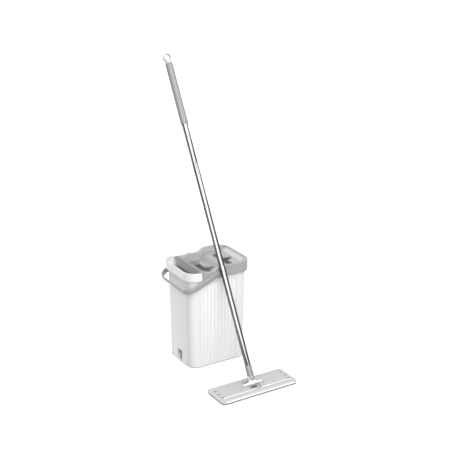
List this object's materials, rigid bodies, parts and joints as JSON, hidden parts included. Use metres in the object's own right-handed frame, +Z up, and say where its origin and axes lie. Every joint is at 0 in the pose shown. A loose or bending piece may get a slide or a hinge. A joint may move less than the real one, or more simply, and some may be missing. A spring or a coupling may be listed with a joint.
{
  "type": "mop and bucket with wringer",
  "caption": "Flat swivel mop leaning on an oblong bucket that has a stepped wringer frame, a pour rim, a bail handle and a drain plug.",
  "frame": {"origin": "centre of the bucket's underside, on the floor", "axes": "+X along the bucket's long side with the pour rim at -X, +Y to the back with the mop standing at -Y, +Z up"},
  "size_m": [0.33, 0.6838, 1.1647],
  "materials": {
    "white_plastic": "satin moulded polypropylene",
    "grey_plastic": "satin moulded plastic",
    "pale_pads": "soft moulded plastic",
    "dark_rubber": "matt rubber",
    "silver_plastic": "pearl grey moulded plastic",
    "hook_tape": "hook tape",
    "microfibre": "looped microfibre",
    "pin_steel": "brushed",
    "pole_chrome": "polished",
    "grip_foam": "soft ribbed grip"
  },
  "bodies": {
    "bucket": {"bucket_shell": "white_plastic", "wringer_frame": "grey_plastic", "wash_pad_front": "pale_pads", "wash_pad_rear": "pale_pads", "dry_pad_front": "pale_pads", "dry_pad_rear": "pale_pads", "wash_scraper": "dark_rubber", "dry_scraper": "dark_rubber", "rim_strip": "pale_pads", "drain_outlet": "grey_plastic", "drain_seal": "dark_rubber", "bail_pins": "grey_plastic"},
    "bail": {"bail_handle": "grey_plastic"},
    "drain_plug": {"drain_cap": "dark_rubber"},
    "mop_head": {"mop_plate": "silver_plastic", "hook_strips": "hook_tape", "mop_pad": "microfibre", "hinge_axle": "pin_steel"},
    "swivel": {"yoke": "white_plastic", "knuckle_pin": "pin_steel"},
    "pole": {"pole_socket": "grey_plastic", "socket_screw": "pin_steel", "lower_tube": "pole_chrome", "lower_coupler": "grey_plastic", "middle_tube": "pole_chrome", "upper_coupler": "grey_plastic", "upper_tube": "pole_chrome", "pole_grip": "grip_foam", "hang_cap": "white_plastic"}
  },
  "joints": [
    {"name": "bail_hinge", "type": "hinge", "parent": "bucket", "child": "bail", "pos_m": [-0.016, 0, 0.3856], "axis": [0, 1, 0], "range_deg": [0, 85]},
    {"name": "drain_pull", "type": "slide", "parent": "bucket", "child": "drain_plug", "axis": [-1, 0, 0], "range_m": [0, 0.03]},
    {"name": "mop_glide", "type": "slide", "parent": "bucket", "child": "mop_head", "axis": [0, -1, 0], "range_m": [0, 0.25]},
    {"name": "yoke_hinge", "type": "hinge", "parent": "mop_head", "child": "swivel", "pos_m": [0, -0.336, 0.02], "axis": [1, 0, 0], "range_deg": [0, 90]},
    {"name": "pole_swing", "type": "hinge", "parent": "swivel", "child": "pole", "pos_m": [0, -0.32553, 0.03935], "axis": [0, 0.8794, -0.4761], "range_deg": [-90, 90]}
  ]
}
